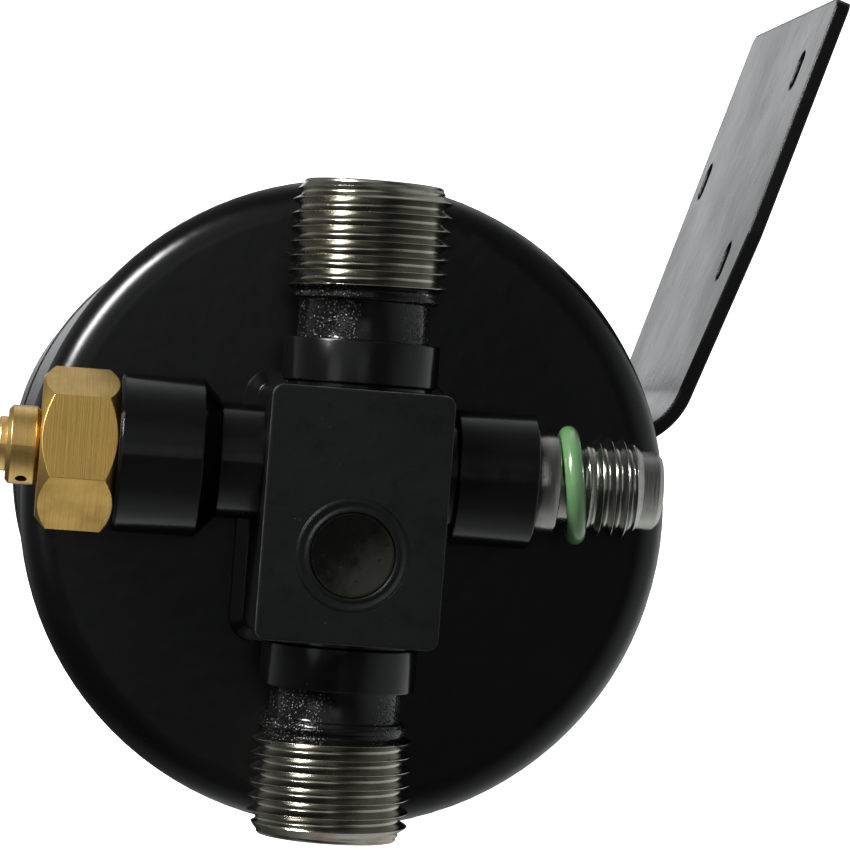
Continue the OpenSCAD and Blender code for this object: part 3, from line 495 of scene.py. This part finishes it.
def port(node, name, side, turns, steel, seed, phase, bare, growth):
    """One refrigerant port: spigot, collar, painted neck, thread and pilot bore.
    Side is 1 towards +Y and -1 towards -Y; the paint reaches bare turns up the thread."""
    low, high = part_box(node)
    c = (low + high) / 2
    face = block_high.y if side > 0 else block_low.y
    end = abs((high.y if side > 0 else low.y) - face) / MM
    place = Matrix.Translation((c.x, face, c.z)) @ Matrix.Rotation(-side * math.pi / 2, 4, "X")
    pitch, major = 1.411, 15.875
    band_r, band_len = 13.8 / 2, 0.3
    collar_r, collar_len, neck_r = 15.4 / 2, 4.75, 13.0 / 2
    spigot_r, spigot_end = 5.2, -3.6
    pilot_r, pilot_len, passage_r = 4.9, 10, 3.5
    z1 = end - band_len
    z0 = z1 - turns * pitch
    black, spray, metal, bore = range(4)  # material slots
    before = [
        (passage_r, spigot_end, bore), (spigot_r, spigot_end, black), (spigot_r, 0.0, black),
        (collar_r - 0.5, 0.0, black), (collar_r - 0.5, 0.45, black), (collar_r - 0.1, 0.5, black),
        (collar_r, 0.6, black), (collar_r, collar_len - 0.2, black),
        (collar_r - 0.05, collar_len - 0.05, black), (collar_r - 0.2, collar_len, spray),
        (neck_r + 0.3, collar_len, spray), (neck_r + 0.08, collar_len + 0.08, spray),
        (neck_r, collar_len + 0.3, spray), (neck_r, z0 - 0.3, spray),
        (neck_r + 0.1, z0 - 0.1, spray), (neck_r + 0.4, z0, spray),
    ]
    after = [
        (band_r, z1, metal), (band_r, end - 0.12, metal), (band_r - 0.12, end, metal),
        (pilot_r + 0.25, end, metal), (pilot_r, end - 0.3, bore), (pilot_r, end - pilot_len, bore),
        (passage_r, end - pilot_len - 0.6, bore), (passage_r, spigot_end, bore),
    ]
    thread = helix(major, 2 * band_r, pitch, z0, z1, seed, phase, growth)
    piece = threaded_piece(name, place, before, after, thread, [BLACK, NECK, steel, BORE], metal,
                           144, painted=z0 + bare * pitch)
    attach(piece, "canister")
    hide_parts(node)


BORE = turned_metal("bore_metal", (0.42, 0.41, 0.39), (0.20, 0.19, 0.18), 0.35, axis=1, edge=0)
port("inlet_fitting", "inlet_port", 1, 8, STEEL_Y, 11, -0.28, 0.76, 0.8)
port("outlet_fitting", "outlet_port", -1, 8, STEEL_Y, 12, -0.35, 1.22, 1.4)


def switch_port():
    """The adapter: shoulder, O-ring neck, M10 thread and plain tip with the core's bore."""
    low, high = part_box("switch_adapter")
    c = (low + high) / 2
    pitch, major, end_d = 1.25, 9.8, 7.9
    shoulder, neck, turns, tip = 2.4, 4.6, 3, 2.15
    z0 = 4.9
    z1 = shoulder + neck + turns * pitch
    end = z1 + tip
    face = high.x - end * MM
    place = Matrix.Translation((face, c.y, c.z)) @ Matrix.Rotation(math.pi / 2, 4, "Y")
    spigot_r, spigot_end = 4.45, -5.6
    well_r, well_len, passage_r = 2.7, 8.0, 1.5
    metal, bore = range(2)  # material slots
    before = [
        (passage_r, spigot_end, bore), (spigot_r, spigot_end, bore), (spigot_r, 0.0, bore),
        (5.0, 0.0, metal), (5.075, 0.1, metal), (5.075, shoulder - 0.2, metal),
        (4.95, shoulder - 0.03, metal), (4.8, shoulder, metal), (3.9, shoulder, metal),
        (3.8, shoulder + 0.1, metal), (3.8, 4.3, metal), (3.95, z0 - 0.2, metal), (4.03, z0, metal),
    ]
    after = [
        (3.95, z1, metal), (3.9, z1 + 0.12, metal), (3.9, end - 0.6, metal),
        (3.8, end - 0.4, metal), (3.4, end, metal), (2.85, end, metal), (well_r, end - 0.15, bore),
        (well_r, end - well_len, bore), (passage_r, end - well_len - 0.4, bore),
        (passage_r, spigot_end, bore),
    ]
    thread = helix(major, end_d, pitch, z0, z1, 13, 0.40, 1.6)
    piece = threaded_piece("switch_port", place, before, after, thread, [STEEL_X, BORE_X], metal,
                           120)
    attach(piece, "canister")
    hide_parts("switch_adapter")


def turned(name, centre, rows, material):
    """A closed turned piece round a vertical axis; rows are (radius, z) in millimetres."""
    sides = 96
    bm = bmesh.new()
    angles = [2 * math.pi * k / sides for k in range(sides)]
    rings = [[bm.verts.new((r * math.cos(a), r * math.sin(a), z)) for a in angles] if r else
             [bm.verts.new((0, 0, z))] * sides for r, z in rows]
    for low, high in zip(rings, rings[1:] + rings[:1]):
        for k in range(sides):
            n = (k + 1) % sides
            corners = list(dict.fromkeys((low[k], low[n], high[n], high[k])))
            if len(corners) > 2:
                bm.faces.new(corners)
    bmesh.ops.recalc_face_normals(bm, faces=bm.faces)
    for f in bm.faces:
        f.smooth = True
    mesh = bpy.data.meshes.new(name)
    bm.to_mesh(mesh)
    bm.free()
    mesh.transform(Matrix.Translation(centre) @ Matrix.Scale(MM, 4))
    mesh.set_sharp_from_angle(angle=math.radians(50))
    mesh.materials.append(material)
    obj = bpy.data.objects.new(name, mesh)
    bpy.context.scene.collection.objects.link(obj)
    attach(obj, "canister")
    return obj


def sight():
    """The painted seat that dips softly round the glass, and the hollow glass in it."""
    low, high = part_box("sight_ring")
    centre = Vector(((low.x + high.x) / 2, (low.y + high.y) / 2, block_high.z))
    ring_low = (low.z - block_high.z) / MM
    seat = turned("sight_seat", centre, [
        (5.55, 0.004), (5.42, 0.0), (5.28, -0.025), (5.12, -0.09), (4.96, -0.19), (4.82, -0.27),
        (4.70, -0.29), (4.58, -0.25), (4.47, -0.17), (4.38, -0.11), (4.30, -0.09), (4.22, -0.12),
        (4.16, -0.22), (4.15, ring_low), (5.0, ring_low), (5.0, -0.42), (5.3, -0.16),
        (5.55, -0.02)], SEAT)
    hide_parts("sight_ring")
    low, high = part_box("sight_glass")
    glass_low = (low.z - block_high.z) / MM
    glass_top = (high.z - block_high.z) / MM
    lens = turned("sight_lens", centre, [
        (0, -0.62), (0.9, -0.60), (1.8, -0.55), (2.6, -0.48), (3.3, -0.40), (3.75, -0.33),
        (3.95, -0.30), (4.06, -0.32), (4.10, -0.40), (4.10, glass_top), (4.95, glass_top),
        (4.95, glass_low), (0, glass_low)], GLASS)
    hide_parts("sight_glass")


BORE_X = turned_metal("bore_metal_x", (0.42, 0.41, 0.39), (0.20, 0.19, 0.18), 0.35, edge=0)
switch_port()
sight()


def live_spring(node):
    """A copy of a CAD spring's mesh, attached to the canister, in place of the CAD spring."""
    spring = bpy.data.objects.new(node + "_wire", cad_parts[node].data.copy())
    bpy.context.scene.collection.objects.link(spring)
    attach(spring, "canister")
    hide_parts(node)
    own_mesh(spring)


live_spring("relief_spring")
live_spring("core_spring")


# ---------- studio ----------

def backdrop():
    """A floor that is even white to the camera and dark to everything else."""
    mesh = bpy.data.meshes.new("floor")
    mesh.from_pydata([(-3, -3, 0), (3, -3, 0), (3, 3, 0), (-3, 3, 0)], [], [(0, 1, 2, 3)])
    n = Material("floor_white")
    n.set(Base_Color=(0.5, 0.5, 0.5), Roughness=0.9, Emission_Color=(1, 1, 1),
          Emission_Strength=1.0)
    mesh.materials.append(n.mat)
    floor = bpy.data.objects.new("floor", mesh)
    bpy.context.scene.collection.objects.link(floor)
    floor.location.z = -0.0002
    floor.visible_glossy = False
    floor.visible_diffuse = False


def direction(azimuth, elevation):
    a, e = math.radians(azimuth), math.radians(elevation)
    return Vector((math.cos(a) * math.cos(e), math.sin(a) * math.cos(e), math.sin(e)))


# the room's light by azimuth, and its share by elevation, in degrees
AROUND = (
    (-180, 0.80), (-165, 0.62), (-150, 0.16), (-112, 0.16), (-100, 0.9), (-78, 1.25), (-64, 0.8),
    (60, 0.8), (76, 1.25), (94, 1.1), (104, 0.36), (120, 0.30), (160, 0.50), (180, 0.80))
HEIGHT = (
    (-90, 0.26), (-80, 0.15), (-68, 0.15), (-54, 0.95), (-32, 1.0), (-14, 0.66), (0, 0.45),
    (14, 0.40), (30, 0.36), (58, 0.22), (90, 0.14))
# soft patches: azimuth, elevation, radius of full light, radius of none, level
PATCHES = (
    (108, 83.7, 3, 12, 0.75),  # seen in the head's upper left
    (178, 46, 5, 14, 1.6),     # seen in the brass
    (126, -76, 5, 11, 1.45),   # seen in the bracket
    (134, 55, 8, 36, 0.85),    # glow round the key light
    (-90, -5, 14, 42, 0.40),   # low, from the outlet's side
    (-15, 0, 22, 62, 0.75),    # low, from the switch port's side
    (90, 32, 12, 40, -0.15))   # less light above the inlet
DARKEST = 0.01


def surroundings():
    """A dim room: a broad band of light round the horizon and a few soft patches."""
    world = bpy.data.worlds.new("studio")
    bpy.context.scene.world = world
    world.use_nodes = True
    n = Nodes(world.node_tree, "Generated")
    x, y, z = (n.part(n.coord, i) for i in range(3))
    turn = n.math("MULTIPLY_ADD", n.math("ARCTAN2", y, x), 0.5 / math.pi, 0.5)
    rise = n.math("MULTIPLY_ADD", n.math("ARCSINE", z), 1 / math.pi, 0.5)
    around = n.ramp(turn, *[((az + 180) / 360, level) for az, level in AROUND])
    height = n.ramp(rise, *[((el + 90) / 180, level) for el, level in HEIGHT])
    light = n.math("MULTIPLY", around, height)
    for azimuth, elevation, inner, outer, level in PATCHES:
        dot = n.add("ShaderNodeVectorMath", operation="DOT_PRODUCT")
        n.link(n.coord, dot.inputs[0])
        dot.inputs[1].default_value = direction(azimuth, elevation)
        patch = n.ramp(dot.outputs["Value"], (math.cos(math.radians(outer)), 0.0),
                       (math.cos(math.radians(inner)), 1.0))
        light = n.math("MULTIPLY_ADD", patch, level, light)
    light = n.math("MAXIMUM", light, DARKEST)
    sky = n.add("ShaderNodeBackground")
    sky.inputs["Color"].default_value = (0.97, 0.99, 1.0, 1)
    n.link(light, sky.inputs["Strength"])
    n.link(sky.outputs[0], n.add("ShaderNodeOutputWorld").inputs["Surface"])


def softbox(name, azimuth, elevation, distance, width, height, power):
    """A rectangular light that faces the crossing of the ports' axes."""
    light = bpy.data.lights.new(name, "AREA")
    light.shape = "RECTANGLE"
    light.size, light.size_y = width, height
    light.energy = power
    obj = bpy.data.objects.new(name, light)
    out = direction(azimuth, elevation)
    obj.location = ROW + out * distance
    obj.rotation_euler = (-out).to_track_quat("-Z", "Y").to_euler()
    obj.visible_camera = False
    bpy.context.scene.collection.objects.link(obj)


backdrop()
surroundings()
softbox("key", 141, 25, 0.9, 0.44, 0.22, 18)
bpy.context.scene.view_settings.view_transform = "Standard"
bpy.context.scene.view_settings.gamma = 0.85


# ---------- camera ----------

CAM_TURN = (0.0095, -0.1185, 0.0753)  # rotation vector from straight down, in radians
CAM_SHIFT = (-6.1497, 7.0417, 346.5574)  # the axes' crossing as the camera sees it, in mm


def turn_matrix(v):
    """The rotation about v by its length."""
    angle = math.sqrt(sum(c * c for c in v))
    return Matrix.Rotation(angle, 3, Vector(v) / angle)


cam_data = bpy.data.cameras.new("camera")
camera = bpy.data.objects.new("camera", cam_data)
bpy.context.scene.collection.objects.link(camera)
bpy.context.scene.camera = camera
cam_data.sensor_width = 36
cam_data.lens = 148.65
cam_data.shift_x = 0.0075
cam_data.shift_y = 0.0131
cam_data.clip_start = 0.01
cam_data.clip_end = 20
to_cam = turn_matrix(CAM_TURN) @ Matrix.Diagonal((1, -1, -1))
shift = Vector(CAM_SHIFT) * MM
place = -(to_cam.transposed() @ shift) + ROW
axes = Matrix((to_cam[0], -to_cam[1], -to_cam[2])).transposed()
camera.matrix_world = Matrix.Translation(place) @ axes.to_4x4()
